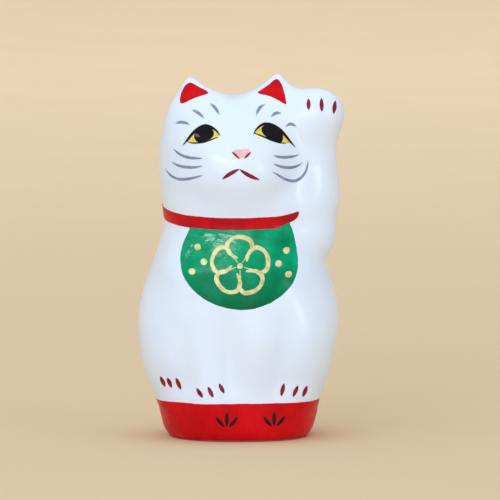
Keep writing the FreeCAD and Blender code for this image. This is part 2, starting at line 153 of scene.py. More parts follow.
class Surface:
    """A triangle mesh that answers rays with a point on its smooth surface and the normal there."""

    def __init__(self, corners, triangles, normals=None):
        self.corners, self.triangles, self.normals = corners, triangles, normals
        self.tree = BVHTree.FromPolygons(corners.tolist(), triangles.tolist())

    def cast(self, starts, directions):
        """Where each ray lands, and the normal there. A ray that misses lands at the nearest point."""
        points, found = [], []
        for start, direction in zip(starts.tolist(), directions.tolist()):
            point, _, index, _ = self.tree.ray_cast(Vector(start), Vector(direction))
            if point is None:
                near_axis = Vector(start) + Vector(direction) * OUTSIDE * 0.9
                point, _, index, _ = self.tree.find_nearest(near_axis)
            points.append(point)
            found.append(index)
        points, found = np.array(points), np.array(found)
        if self.normals is None:
            return points, None
        return self.round_off(points, self.triangles[found])

    def round_off(self, points, triangles):
        """Moves points from flat triangles onto the curved surface that the corners' normals imply."""
        a, b, c = (self.corners[triangles[:, k]] for k in range(3))
        whole = np.cross(b - a, c - a)
        area = np.maximum((whole * whole).sum(1), 1e-18)
        weight_b = (np.cross(points - a, c - a) * whole).sum(1) / area
        weight_c = (np.cross(b - a, points - a) * whole).sum(1) / area
        weights = np.stack([1 - weight_b - weight_c, weight_b, weight_c], axis=1)
        normal = np.zeros_like(points)
        lifted = np.zeros_like(points)
        for k in range(3):
            corner_normal = self.normals[triangles[:, k]]
            gap = ((points - self.corners[triangles[:, k]]) * corner_normal).sum(1, keepdims=True)
            normal += weights[:, k:k + 1] * corner_normal
            lifted += weights[:, k:k + 1] * (points - gap * corner_normal)
        return 0.25 * points + 0.75 * lifted, unit(normal)


# ---------------------------------------------------------------- the white skin

def coat_rays():
    """Start and direction of each ray to the ground coat, row by row from the foot to the crown."""
    foot_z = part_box("ground_coat")[0].z / MM + FOOT_MARGIN
    starts, directions = [], []
    for row in range(SIDE_ROWS + CROWN_ROWS):
        tilt = pi / 2 * max(row - SIDE_ROWS, 0) / CROWN_ROWS
        z = foot_z + (CROWN_CENTRE_Z - foot_z) * min(row / SIDE_ROWS, 1.0)
        for column in range(SKIN_COLUMNS):
            turn = 2 * pi * column / SKIN_COLUMNS
            out = np.array([cos(turn) * cos(tilt), sin(turn) * cos(tilt), sin(tilt)])
            starts.append(np.array([0.0, 0.0, z]) + out * OUTSIDE)
            directions.append(-out)
    return np.array(starts), np.array(directions)


def faired(grid):
    """Smooths away the facets of the sampled mesh without shrinking it."""
    for step in range(2 * FAIRING_STEPS):
        strength = 0.5 if step % 2 == 0 else -0.52
        around = (np.roll(grid, 1, axis=1) + np.roll(grid, -1, axis=1)) / 2
        along = (grid[2:] + grid[:-2]) / 2
        pull = np.zeros_like(grid)
        pull[1:-1] = (around[1:-1] + along) / 2 - grid[1:-1]
        grid = grid + strength * pull
    return grid


def grid_normals(grid):
    """Normals of a grid of points whose rows are closed, pointing out of it."""
    across = np.roll(grid, -1, axis=1) - np.roll(grid, 1, axis=1)
    upward = np.gradient(grid, axis=0)
    return unit(np.cross(across, upward))


def sampled_skin():
    """Grid of points on the ground coat, with the unevenness of pasted paper."""
    corners, triangles = node_mesh("ground_coat")
    coat = Surface(corners, triangles)
    points, _ = coat.cast(*coat_rays())
    grid = faired(points.reshape(-1, SKIN_COLUMNS, 3))
    lift = sum(height * rough(grid, size, seed=3.7 * i) for i, (height, size) in enumerate(SKIN_WAVES))
    ridge = np.exp(-(grid[..., 1] / JOINT_RIDGE_WIDTH) ** 2) * (1 + rough(grid, 9.0, seed=20.0))
    return grid + grid_normals(grid) * (lift + JOINT_RIDGE * ridge / 2)[..., None]


def build_skin():
    """Makes the skin piece and returns it as a Surface for the paint to lie on."""
    grid = sampled_skin()
    crown = grid[-1].mean(axis=0)
    foot = grid[0].copy()
    inward = np.linspace(0, 1, UNDER_ROWS + 1)[1:-1]
    under = [foot * [1 - f, 1 - f, 1] for f in inward[::-1]]
    rows = np.concatenate([np.array(under), grid])
    centre_under = np.array([0.0, 0.0, foot[:, 2].mean()])
    corners = np.concatenate([rows.reshape(-1, 3), [crown, centre_under]])
    faces = band_faces(len(rows), SKIN_COLUMNS)
    last_row, top, bottom = (len(rows) - 1) * SKIN_COLUMNS, len(corners) - 2, len(corners) - 1
    for c in range(SKIN_COLUMNS):
        after = (c + 1) % SKIN_COLUMNS
        faces.append([last_row + c, last_row + after, top])
        faces.append([after, c, bottom])
    make_piece("ground_coat_skin", corners, faces, MATERIALS["white"], "ground_coat")
    normals = grid_normals(rows)
    normals = np.concatenate([normals.reshape(-1, 3), [[0, 0, 1], [0, 0, -1]]])
    triangles = [[f[0], f[k], f[k + 1]] for f in faces for k in range(1, len(f) - 1)]
    return Surface(corners, np.array(triangles), normals)


# ---------------------------------------------------------------- outlines

def traced(edges):
    """Closed loops of vertices from directed edges. A path that meets itself is split there."""
    follows = {}
    for start, end in sorted(edges):
        follows.setdefault(start, []).append(end)
    loops = []
    while any(follows.values()):
        path = [next(start for start, ends in follows.items() if ends)]
        while follows.get(path[-1]):
            at = follows[path[-1]].pop()
            if at in path:
                loops.append(path[path.index(at):])
                path = path[:path.index(at) + 1]
            else:
                path.append(at)
    return loops


def enclosed(loop):
    """Signed area inside a loop, positive when it runs counter-clockwise."""
    x, z = loop[:, 0], loop[:, 1]
    return (x * np.roll(z, -1) - z * np.roll(x, -1)).sum() / 2


def film_outlines(name):
    """The outline of each patch of a CAD film as (x, z) points seen from the front."""
    corners, triangles = node_mesh(name)
    a, b, c = (corners[triangles[:, k]] for k in range(3))
    normals = unit(np.cross(b - a, c - a))
    front = triangles[normals[:, 1] < -0.02]
    edges = {(int(t[k]), int(t[(k + 1) % 3])) for t in front for k in range(3)}
    loops = [corners[loop][:, [0, 2]] for loop in traced(e for e in edges if e[::-1] not in edges)]
    return [loop for loop in loops if abs(enclosed(loop)) > SMALLEST_PATCH]


def travelled_along(line):
    """Distance travelled from the start of a line to each of its points."""
    steps = np.linalg.norm(np.diff(line, axis=0), axis=1)
    return np.concatenate([[0], np.cumsum(steps)])


def points_at(line, places):
    """Points of a flat line at distances travelled along it."""
    travelled = travelled_along(line)
    return np.stack([np.interp(places, travelled, line[:, k]) for k in range(2)], axis=1)


def resampled(loop, spacing):
    """Even points round an outline, with its sharp corners kept to within half a step."""
    line = np.concatenate([loop, loop[:1]])
    length = travelled_along(line)[-1]
    count = max(int(length / spacing), 8)
    return points_at(line, np.linspace(0, length, count + 1)[:-1])


def counter_clockwise(loop):
    """The outline turned so that it runs counter-clockwise."""
    return loop if enclosed(loop) > 0 else loop[::-1]


def outward(loop):
    """Normals of a counter-clockwise loop, pointing out of it."""
    along = np.roll(loop, -1, axis=0) - np.roll(loop, 1, axis=0)
    return unit(np.stack([along[:, 1], -along[:, 0]], axis=1))


def hand_drawn(loop, spacing, wobble, grain=1.4, seed=0.0, grow=0.0):
    """An outline as a brush leaves it: resampled, slightly uneven, and spread by grow."""
    loop = counter_clockwise(resampled(loop, spacing))
    places = np.stack([loop[:, 0], loop[:, 1], np.zeros(len(loop))], axis=1)
    shift = grow + wobble * (rough(places, grain, seed) + 0.5 * rough(places, grain / 2.5, seed + 9))
    return loop + outward(loop) * shift[:, None]


def distance_to(loop, points):
    """Distance from each point to a closed outline."""
    a, b = loop, np.roll(loop, -1, axis=0)
    edge = b - a
    best = np.full(len(points), 1e9)
    for start, along in zip(a, edge):
        t = np.clip(((points - start) @ along) / max(along @ along, 1e-12), 0, 1)
        gap = points - start - t[:, None] * along
        best = np.minimum(best, (gap * gap).sum(1))
    return np.sqrt(best)


def inside(loop, points):
    """Whether each point lies inside a closed outline."""
    crossings = np.zeros(len(points), int)
    for (x0, z0), (x1, z1) in zip(loop, np.roll(loop, -1, axis=0)):
        spans = (z0 > points[:, 1]) != (z1 > points[:, 1])
        with np.errstate(divide="ignore", invalid="ignore"):
            at = x0 + (points[:, 1] - z0) / (z1 - z0) * (x1 - x0)
        crossings += spans & (points[:, 0] < at)
    return crossings % 2 == 1


def filled(loop, spacing, edge):
    """Points and triangles that fill an outline, with two rows of points following its edge."""
    low, high = loop.min(axis=0), loop.max(axis=0)
    xs = np.arange(low[0], high[0], spacing)
    zs = np.arange(low[1], high[1], spacing * 0.87)
    grid = np.stack(np.meshgrid(xs, zs), axis=-1)
    grid[1::2, :, 0] += spacing / 2
    grid = grid.reshape(-1, 2)
    grid = grid[inside(loop, grid)]
    groups = [loop, grid[distance_to(loop, grid) > max(edge, spacing * 0.6)]]
    for share in (0.4, 0.85):
        ring = loop - outward(loop) * edge * share
        kept = inside(loop, ring) & (distance_to(loop, ring) > 0.9 * edge * share)
        groups.append(ring[kept])
    points = np.concatenate(groups)
    made = delaunay_2d_cdt([Vector(p) for p in points], [], [list(range(len(loop)))], 1, 1e-5)
    corners = np.array([tuple(v) for v in made[0]])
    return corners, [list(face) for face in made[2]]


def curve_through(points, count):
    """Even points on a smooth curve through a few."""
    points = np.array(points, float)
    padded = np.concatenate([[2 * points[0] - points[1]], points, [2 * points[-1] - points[-2]]])
    line = []
    for i in range(len(points) - 1):
        p0, p1, p2, p3 = padded[i:i + 4]
        for t in np.linspace(0, 1, 16, endpoint=False):
            line.append(0.5 * (2 * p1 + (p2 - p0) * t + (2 * p0 - 5 * p1 + 4 * p2 - p3) * t * t
                               + (3 * p1 - p0 - 3 * p2 + p3) * t ** 3))
    line.append(points[-1])
    line = np.array(line)
    return points_at(line, np.linspace(0, travelled_along(line)[-1], count))


def stroke_outline(points, widths, count=40):
    """The outline of a brush stroke along a curve, with round ends. widths are spread evenly along it."""
    line = curve_through(points, count)
    width = np.interp(np.linspace(0, 1, count), np.linspace(0, 1, len(widths)), widths)
    along = unit(np.gradient(line, axis=0))
    across = np.stack([-along[:, 1], along[:, 0]], axis=1)
    ends = []
    for tip, sign in ((-1, 1), (0, -1)):
        centre, heading, radius = line[tip], sign * along[tip], width[tip] / 2
        side = np.array([-heading[1], heading[0]])
        turns = np.linspace(-pi / 2, pi / 2, 7)[1:-1]
        ends.append([centre + radius * (cos(t) * heading + sin(t) * side) for t in turns])
    left = line - across * width[:, None] / 2
    right = (line + across * width[:, None] / 2)[::-1]
    return np.concatenate([left, ends[0], right, ends[1]])


# ---------------------------------------------------------------- paint laid on the skin

def paint_height(distance, lift, swell=0.0, edge=EDGE):
    """Height of a film over the skin at a distance from its edge, from the skin up to its full height."""
    share = np.clip(distance / edge, 0, 1)
    rim = RIM * np.exp(-((distance - 1.3 * edge) / (0.7 * edge)) ** 2)
    return FEATHER + (lift - FEATHER) * np.sqrt(1 - (1 - share) ** 2) + rim + swell


def closed_film(tops, roots, faces):
    """Joins a sheet and its shifted copy into one closed thin solid."""
    count = len(tops)
    edges = {(f[k], f[(k + 1) % len(f)]) for f in faces for k in range(len(f))}
    sides = [[b, a, a + count, b + count] for a, b in edges if (b, a) not in edges]
    backs = [[i + count for i in reversed(face)] for face in faces]
    return np.concatenate([tops, roots]), faces + backs + sorted(sides)


class Painter:
    """Lays outlines on the skin and gathers them into pieces."""

    def __init__(self, skin):
        self.skin = skin

    def from_front(self, points):
        """The skin's points and normals straight behind (x, z) points."""
        starts = np.stack([points[:, 0], np.full(len(points), -OUTSIDE), points[:, 1]], axis=1)
        return self.skin.cast(starts, np.tile([0.0, 1.0, 0.0], (len(points), 1)))

    def patch(self, loop, spacing, lift, edge=EDGE, ridges=0.0, slant=(1.0, 1.0)):
        """One closed film over an outline: its corners, its faces and each corner's place in the outline."""
        points, faces = filled(loop, spacing, edge)
        distance = distance_to(loop, points)
        bases, normals = self.from_front(points)
        swell = 0.0
        if ridges:
            across, along = points @ [slant[1], -slant[0]], points @ slant
            streaks = np.stack([across / 0.55, along / 6.0, 0 * distance], axis=1)
            swell = ridges * rough(streaks, 1.0, seed=5.0) * np.clip(distance / (3 * EDGE), 0, 1)
        tops = bases + normals * paint_height(distance, lift, swell, edge)[:, None]
        roots = bases - normals * FILM_ROOT
        if faces and np.cross(*(points[faces[0][k]] - points[faces[0][0]] for k in (1, 2))) < 0:
            faces = [face[::-1] for face in faces]
        corners, faces = closed_film(tops, roots, faces)
        return corners, faces, np.concatenate([points, points])

    def piece(self, node, loops, slot, material, spacing=0.3, lift=FILM, fade=0.0, **brushing):
        """The patches of one CAD film. Their attribute "thin" rises to 1 within fade of a patch's tips."""
        corners, faces, thin = [], [], []
        for loop in loops:
            made, made_faces, places = self.patch(loop, spacing, lift, **brushing)
            start = sum(len(c) for c in corners)
            faces += [[i + start for i in face] for face in made_faces]
            corners.append(made)
            thin.append(tip_nearness(loop, places, fade) if fade else np.zeros(len(places)))
        corners = np.concatenate(corners)
        piece = make_piece(node + "_paint", corners, faces, MATERIALS[material], node)
        attribute = piece.data.attributes.new("thin", "FLOAT", "POINT")
        attribute.data.foreach_set("value", np.concatenate(thin))


def tip_nearness(loop, places, reach):
    """1 at a stroke's two tips, falling to 0 at a distance of reach."""
    middle = loop.mean(axis=0)
    first = loop[np.argmax(np.linalg.norm(loop - middle, axis=1))]
    second = loop[np.argmax(np.linalg.norm(loop - first, axis=1))]
    near = np.minimum(np.linalg.norm(places - first, axis=1), np.linalg.norm(places - second, axis=1))
    return np.clip(1 - near / reach, 0, 1)


# ---------------------------------------------------------------- materials

class Material:
    """A procedural Principled material whose patterns are placed in millimetres of the object's frame."""

    def __init__(self, name, roughness, coat=0.0, coat_roughness=0.1, metallic=0.0, specular=0.5):
        self.data = bpy.data.materials.new(name)
        self.data.use_nodes = True
        self.nodes, self.links = self.data.node_tree.nodes, self.data.node_tree.links
        self.shader = self.nodes["Principled BSDF"]
        self.shader.inputs["Roughness"].default_value = roughness
        self.shader.inputs["Coat Weight"].default_value = coat
        self.shader.inputs["Coat Roughness"].default_value = coat_roughness
        self.shader.inputs["Metallic"].default_value = metallic
        self.shader.inputs["Specular IOR Level"].default_value = specular
        self.place = self.nodes.new("ShaderNodeTexCoord").outputs["Object"]
        self.full = None         # the colour of paint at its full depth
        self.relief = None       # the normal after the bumps so far

    def noise(self, size, detail=2.0, stretch=(1, 1, 1), turn=(0, 0, 0), distortion=0.0):
        """Noise with a grain of size millimetres, turned in degrees and stretched along its axes."""
        mapping = self.nodes.new("ShaderNodeMapping")
        mapping.vector_type = "TEXTURE"
        mapping.inputs["Rotation"].default_value = [radians(t) for t in turn]
        mapping.inputs["Scale"].default_value = [s * size * MM for s in stretch]
        texture = self.nodes.new("ShaderNodeTexNoise")
        texture.inputs["Scale"].default_value = 1.0
        texture.inputs["Detail"].default_value = detail
        texture.inputs["Distortion"].default_value = distortion
        self.links.new(self.place, mapping.inputs["Vector"])
        self.links.new(mapping.outputs["Vector"], texture.inputs["Vector"])
        return texture.outputs["Fac"]

    def ramp(self, value, *stops):
        """Colours or numbers by value. stops are (position, colour or number)."""
        node = self.nodes.new("ShaderNodeValToRGB")
        elements = node.color_ramp.elements
        while len(elements) < len(stops):
            elements.new(0.5)
        for element, (position, colour) in zip(elements, stops):
            element.position = position
            element.color = (*colour, 1) if isinstance(colour, tuple) else (colour, colour, colour, 1)
        self.links.new(value, node.inputs["Fac"])
        return node.outputs["Color"]

    def mix(self, share, first, second):
        """A colour between two colours, each a socket or a constant."""
        node = self.nodes.new("ShaderNodeMix")
        node.data_type = "RGBA"
        colours = [i for i in node.inputs if i.type == "RGBA"]
        for target, value in ((node.inputs["Factor"], share), (colours[0], first), (colours[1], second)):
            if isinstance(value, bpy.types.NodeSocket):
                self.links.new(value, target)
            elif isinstance(value, tuple):
                target.default_value = (*value, 1)
            else:
                target.default_value = value
        return next(o for o in node.outputs if o.type == "RGBA")

    def along(self, axis, start, end):
        """0 to 1 between two places on an axis, in metres."""
        position = self.nodes.new("ShaderNodeSeparateXYZ")
        self.links.new(self.place, position.inputs[0])
        node = self.nodes.new("ShaderNodeMapRange")
        node.inputs["From Min"].default_value, node.inputs["From Max"].default_value = start, end
        self.links.new(position.outputs[axis], node.inputs["Value"])
        return node.outputs["Result"]

    def attribute(self, name):
        node = self.nodes.new("ShaderNodeAttribute")
        node.attribute_name = name
        return node.outputs["Fac"]

    def colour(self, value):
        self.links.new(value, self.shader.inputs["Base Color"])

    def roughness(self, value):
        self.links.new(value, self.shader.inputs["Roughness"])

    def bump(self, height, distance, strength=1.0):
        """Adds relief. distance is its full height in millimetres."""
        node = self.nodes.new("ShaderNodeBump")
        node.inputs["Distance"].default_value = distance * MM
        node.inputs["Strength"].default_value = strength
        self.links.new(height, node.inputs["Height"])
        if self.relief is not None:
            self.links.new(self.relief, node.inputs["Normal"])
        self.relief = node.outputs["Normal"]
        self.links.new(self.relief, self.shader.inputs["Normal"])


def white_ground():
    """Satin white over chalk ground: cool white with faint warm clouds, soft brush marks and fine tooth."""
    m = Material("white_ground_satin", roughness=0.42, coat=0.25, coat_roughness=0.14)
    cool, pale, warm = (0.74, 0.84, 0.985), (0.775, 0.865, 0.99), (0.79, 0.86, 0.97)
    clouds = m.ramp(m.noise(17, 3), (0.3, cool), (0.5, pale), (0.75, warm))
    rubbed = m.ramp(m.noise(3.2, 4, distortion=0.6), (0.62, 0.0), (0.80, 0.3))
    m.colour(m.mix(rubbed, clouds, (0.78, 0.81, 0.85)))
    m.roughness(m.ramp(m.noise(7, 3), (0.3, 0.34), (0.7, 0.50)))
    m.bump(m.noise(0.9, 3, stretch=(1, 1, 7), turn=(0, 12, 0), distortion=0.8), 0.02, 0.55)
    m.bump(m.noise(0.35, 2), 0.008, 0.35)
    return m.data


def brushed_paint(name, deep, main, light, roughness=0.36, coat=0.08, coat_roughness=0.15, specular=0.18,
                  turn=20, marks=0.02, grain=5.0, metallic=0.0):
    """Hand-brushed paint: broad changes of depth, finer streaks along the brush, and its marks in relief."""
    m = Material(name, roughness, coat, coat_roughness, metallic, specular)
    streaks = m.noise(0.5, 3, stretch=(9, 9, 1), turn=(0, turn, 0), distortion=0.5)
    body = m.ramp(m.noise(grain, 3), (0.28, deep), (0.5, main), (0.78, light))
    m.full = m.mix(m.ramp(streaks, (0.45, 0.0), (0.75, 0.45)), body, deep)
    m.colour(m.full)
    m.roughness(m.ramp(m.noise(2.5, 3), (0.3, roughness * 0.8), (0.7, roughness * 1.35)))
    m.bump(streaks, marks, 0.6)
    m.bump(m.noise(0.3, 2), 0.006, 0.3)
    return m


def tipped_paint(name, deep, main, light, tip, most=0.7, start=0.35, **settings):
    """Brushed paint that changes colour at a stroke's tips, where it is thin or has pooled."""
    m = brushed_paint(name, deep, main, light, **settings)
    dry = m.noise(0.28, 3, distortion=0.4)
    share = m.ramp(m.mix(0.3, m.attribute("thin"), dry), (start, 0.04), (0.95, most))
    m.colour(m.mix(share, m.full, tip))
    return m


def bib_green():
    """Green brushed slantwise, with painted shade darkening it towards the bottom, glossy in streaks at the
    top.
    """
    m = brushed_paint(
        "bib_green", (0.001, 0.20, 0.080), (0.001, 0.32, 0.135), (0.002, 0.46, 0.24),
        roughness=0.34, coat=0.2, coat_roughness=0.10, specular=0.04, turn=42, marks=0.045, grain=7)
    low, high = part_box("bib")
    middle, half_width, height = (low.x + high.x) / 2, (high.x - low.x) / 2, high.z - low.z
    # painted shade: the green is mixed towards a deep green over the lower half of the bib, most at its
    # bottom edge
    painted_shade_low = m.ramp(m.along("Z", low.z, low.z + 0.55 * height), (0.0, 0.8), (1.0, 0.0))
    m.colour(m.mix(painted_shade_low, m.full, (0.001, 0.095, 0.022)))
    strokes = m.noise(0.55, 3, stretch=(8, 8, 1), turn=(0, 12, 0), distortion=0.7)
    streaks = m.ramp(strokes, (0.38, 0.05), (0.62, 1.0))
    upper = m.ramp(m.along("Z", low.z + 0.6 * height, high.z), (0.0, 0.0), (0.5, 1.0))
    glossy = m.mix(upper, (0.14, 0.14, 0.14), streaks)
    right = m.along("X", middle + 0.443 * half_width, middle + 0.612 * half_width)
    m.links.new(m.mix(right, glossy, (0.05, 0.05, 0.05)), m.shader.inputs["Coat Weight"])
    return m.data


def fibrous_paper(name, dark, main, light):
    """Pasted paper or card: mottled pulp with long fine fibres."""
    m = Material(name, roughness=0.85, specular=0.3)
    pulp = m.ramp(m.noise(4, 4), (0.3, dark), (0.5, main), (0.75, light))
    fibres = m.noise(0.22, 3, stretch=(14, 1, 1), turn=(0, 0, 35), distortion=1.2)
    m.colour(m.mix(m.ramp(fibres, (0.6, 0.0), (0.72, 0.55)), pulp, dark))
    m.bump(m.noise(0.8, 4, distortion=0.8), 0.05, 0.6)
    m.bump(fibres, 0.02, 0.5)
    return m.data


def raw_clay():
    """Dry unfired clay, lumpy and mottled."""
    m = Material("raw_clay", roughness=0.9, specular=0.25)
    damp, main, dry = (0.27, 0.2, 0.14), (0.40, 0.31, 0.23), (0.50, 0.41, 0.31)
    m.colour(m.ramp(m.noise(3, 5), (0.3, damp), (0.55, main), (0.8, dry)))
    m.bump(m.noise(1.2, 5, distortion=0.4), 0.15, 0.7)
    return m.data


MATERIALS = {
    "white": white_ground(),
    "base_red": brushed_paint(
        "base_red", (0.48, 0.003, 0.007), (0.66, 0.003, 0.008), (0.74, 0.005, 0.010),
        coat=0.04, specular=0.09, turn=90, grain=8).data,
    "collar_red": brushed_paint(
        "collar_red", (0.40, 0.003, 0.010), (0.56, 0.003, 0.010), (0.66, 0.005, 0.012),
        coat=0.10, specular=0.09, turn=90, grain=6).data,
    "ear_red": brushed_paint(
        "ear_red", (0.48, 0.002, 0.006), (0.64, 0.002, 0.007), (0.70, 0.003, 0.008),
        coat=0.03, specular=0.06, turn=40, grain=4).data,
    "green": bib_green(),
    "gold": brushed_paint(
        "gold_paint", (0.50, 0.44, 0.16), (0.74, 0.68, 0.33), (0.86, 0.83, 0.55),
        roughness=0.36, coat=0.15, turn=60, grain=1.6, metallic=0.12).data,
    "yellow": brushed_paint(
        "eye_yellow", (0.70, 0.44, 0.04), (0.86, 0.66, 0.07), (0.92, 0.80, 0.26),
        roughness=0.25, coat=0.4, grain=2).data,
    "black": brushed_paint(
        "eye_black", (0.002, 0.002, 0.003), (0.004, 0.003, 0.004), (0.010, 0.007, 0.010),
        roughness=0.24, coat=0.26, coat_roughness=0.08, specular=0.02, grain=3).data,
    "base_black": tipped_paint(
        "sprig_black", (0.006, 0.003, 0.006), (0.012, 0.005, 0.009), (0.05, 0.010, 0.016),
        tip=(0.40, 0.008, 0.016), grain=2).data,
    "slate": tipped_paint(
        "hair_slate", (0.15, 0.18, 0.29), (0.21, 0.25, 0.38), (0.32, 0.37, 0.52),
        tip=(0.76, 0.82, 0.90), most=0.85, roughness=0.38, grain=2).data,
    "pink": brushed_paint(
        "nose_pink", (0.88, 0.42, 0.40), (0.94, 0.52, 0.50), (0.96, 0.64, 0.62), grain=2).data,
    "line_red": tipped_paint(
        "line_red", (0.16, 0.006, 0.016), (0.30, 0.010, 0.026), (0.44, 0.016, 0.036),
        tip=(0.60, 0.26, 0.28), grain=1.6).data,
    "dark_red": tipped_paint(
        "claw_red", (0.14, 0.005, 0.013), (0.26, 0.008, 0.020), (0.40, 0.012, 0.028),
        tip=(0.030, 0.004, 0.010), start=0.2, most=0.9, grain=1.6).data,
    "moulded_paper": fibrous_paper(
        "moulded_paper", (0.36, 0.29, 0.2), (0.56, 0.48, 0.36), (0.68, 0.6, 0.48)),
    "pasted_paper": fibrous_paper("pasted_paper", (0.5, 0.42, 0.3), (0.70, 0.62, 0.47), (0.8, 0.73, 0.6)),
    "card": fibrous_paper("card", (0.24, 0.17, 0.1), (0.38, 0.29, 0.19), (0.46, 0.37, 0.26)),
    "clay": raw_clay(),
}


# ---------------------------------------------------------------- base band and collar

def around(skin, turns, heights):
    """The skin's points and normals at each turn about the axis and height, as grids of (turn, height)."""
    shape = heights.shape
    turn = np.broadcast_to(turns[:, None], shape)
    out = np.stack([np.cos(turn), np.sin(turn), np.zeros(shape)], axis=-1)
    starts = out * OUTSIDE
    starts[..., 2] = heights
    points, normals = skin.cast(starts.reshape(-1, 3), -out.reshape(-1, 3))
    return points.reshape(*shape, 3), normals.reshape(*shape, 3)


def strip_solid(tops, roots, closed):
    """A thin solid from a strip of top points and the same grid shifted inwards, both as (turn, across)."""
    turns, across = tops.shape[:2]
    corners = np.concatenate([tops, roots[:, ::-1]], axis=1).reshape(-1, 3)
    width = 2 * across
    faces = []
    for t in range(turns if closed else turns - 1):
        here, beyond = t * width, (t + 1) % turns * width
        for k in range(width):
            after = (k + 1) % width
            faces.append([here + k, here + after, beyond + after, beyond + k])
    if not closed:
        for t, flip in ((0, True), (turns - 1, False)):
            here, last = t * width, t * width + width - 1
            for k in range(across - 1):
                quad = [here + k, here + k + 1, last - 1 - k, last - k]
                faces.append(quad[::-1] if flip else quad)
    return corners, [face[::-1] for face in faces]


def at_height(points, z):
    """The same points moved to a height."""
    moved = points.copy()
    moved[..., 2] = z
    return moved


def brush_relief(travelled, heights, distance, seed):
    """Relief of brush marks that run round a band, given distances travelled along it."""
    places = np.stack([travelled[:, None] / 7 + 0 * heights, heights / 0.5, 0 * heights], axis=-1)
    return BRUSH_MARK * rough(places, 1.0, seed=seed) * np.clip(distance / 0.6, 0, 1)


def build_base_band(skin):
    """The red band round the base, turned in under the rim."""
    low, high = (v.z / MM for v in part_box("base_band"))
    turns = np.linspace(0, 2 * pi, 420, endpoint=False)
    ring = np.stack([np.cos(turns), np.sin(turns), np.zeros(len(turns))], axis=1) * BAND_RADIUS
    top = high + 0.12 * rough(ring, 7.0, seed=2.0) + 0.07 * rough(ring, 1.8, seed=4.0)
    start = low + BAND_START
    share = np.linspace(0, 1, 44) ** 0.9
    heights = start + share[None, :] * (top - start)[:, None]
    bases, normals = around(skin, turns, heights)
    distance = top[:, None] - heights
    swell = brush_relief(turns * BAND_RADIUS, heights, distance, 8.0)
    tops = bases + normals * paint_height(distance, FILM, swell)[..., None]
    roots = bases - normals * FILM_ROOT
    inner, outer = bases[:, :1] * 0.955, bases[:, :1] * 0.985
    rim, rim_root = tops[:, :1], roots[:, :1]
    under = [at_height(inner, low - 0.07), at_height(outer, low - 0.07), at_height(rim, low - 0.05)]
    buried = [at_height(inner, low + 0.05), at_height(outer, low + 0.05), at_height(rim_root, low + 0.08)]
    corners, faces = strip_solid(
        np.concatenate(under + [tops], axis=1), np.concatenate(buried + [roots], axis=1), True)
    make_piece("base_band_paint", corners, faces, MATERIALS["base_red"], "base_band")


def heights_round(name, turns):
    """Lowest and highest z of a CAD node in the half plane at each turn about the axis."""
    corners, triangles = node_mesh(name)
    starts = corners[triangles].reshape(-1, 3)
    ends = corners[np.roll(triangles, -1, axis=1)].reshape(-1, 3)
    low, high = [], []
    for turn in turns:
        out, side = np.array([cos(turn), sin(turn), 0.0]), np.array([-sin(turn), cos(turn), 0.0])
        before, after = starts @ side, ends @ side
        cut = (before * after < 0) & ((starts + ends) @ out > 0)
        share = before[cut] / (before[cut] - after[cut])
        z = starts[cut, 2] + share * (ends[cut, 2] - starts[cut, 2])
        low.append(z.min())
        high.append(z.max())
    return np.array(low), np.array(high)


def build_collar(skin):
    """The collar runs from its pointed end at the raised arm round the front, left and back of the neck."""
    corners, _ = node_mesh("collar")
    found = np.sort(np.arctan2(corners[:, 1], corners[:, 0]))
    gap = np.argmax(np.diff(found))
    inset = 0.004                # radians
    turns = np.linspace(found[gap] - inset, found[gap + 1] + inset - 2 * pi, 460)
    bottom, top = heights_round("collar", turns)
    centres, _ = around(skin, turns, ((bottom + top) / 2)[:, None])
    centres = centres[:, 0]
    to_front = travelled_along(centres)
    to_rear = to_front[-1] - to_front
    curl = COLLAR_CURL * np.clip(1 - to_front / CURL_LENGTH, 0, 1) ** 1.5
    uneven = 0.10 * rough(centres, 6.0, seed=1.0)
    top += uneven + 0.05 * rough(centres, 1.7, seed=3.0) + curl
    bottom += uneven + 0.05 * rough(centres, 1.7, seed=6.0)
    full = top - bottom
    for to_end, length in ((to_front, COLLAR_END), (to_rear, COLLAR_TAIL)):
        rounding = 0.45 * (1 - np.sqrt(1 - np.clip(1 - to_end / length, 0, 1) ** 2))
        bottom += full * rounding
        top -= full * rounding
    share = (1 - np.cos(np.linspace(0, pi, 22))) / 2
    heights = bottom[:, None] + share[None, :] * (top - bottom)[:, None]
    bases, normals = around(skin, turns, heights)
    edge_gap = np.minimum(heights - bottom[:, None], top[:, None] - heights)
    distance = np.minimum(edge_gap, np.minimum(to_front, to_rear)[:, None])
    swell = brush_relief(to_front, heights, distance, 9.0)
    tops = bases + normals * paint_height(distance, COLLAR_FILM, swell)[..., None]
    corners, faces = strip_solid(tops, bases - normals * FILM_ROOT, False)
    make_piece("collar_paint", corners, faces, MATERIALS["collar_red"], "collar")


# ---------------------------------------------------------------- bib, face, claws, base marks

def drawn_strokes(node, spacing, wobble, **settings):
    """The outlines of a CAD film as brush strokes, each uneven in its own way."""
    loops = film_outlines(node)
    return [hand_drawn(loop, spacing, wobble, seed=i, **settings) for i, loop in enumerate(loops)]


def build_bib(painter):
    """The bib, tucked under the collar, and its gold dots."""
    outline = hand_drawn(film_outlines("bib")[0], 0.3, 0.10, grain=3.0)
    collar = max(film_outlines("collar"), key=len)
    outline[distance_to(collar, outline) < BIB_TUCK / 2] += [0, BIB_TUCK]
    painter.piece("bib", [outline], "green_paint", "green", ridges=0.022, slant=(0.7, 0.71))
    dots = drawn_strokes("bib_dots", 0.15, 0.10, grain=0.9)
    painter.piece("bib_dots", dots, "gold_paint", "gold", spacing=0.25, lift=DETAIL)


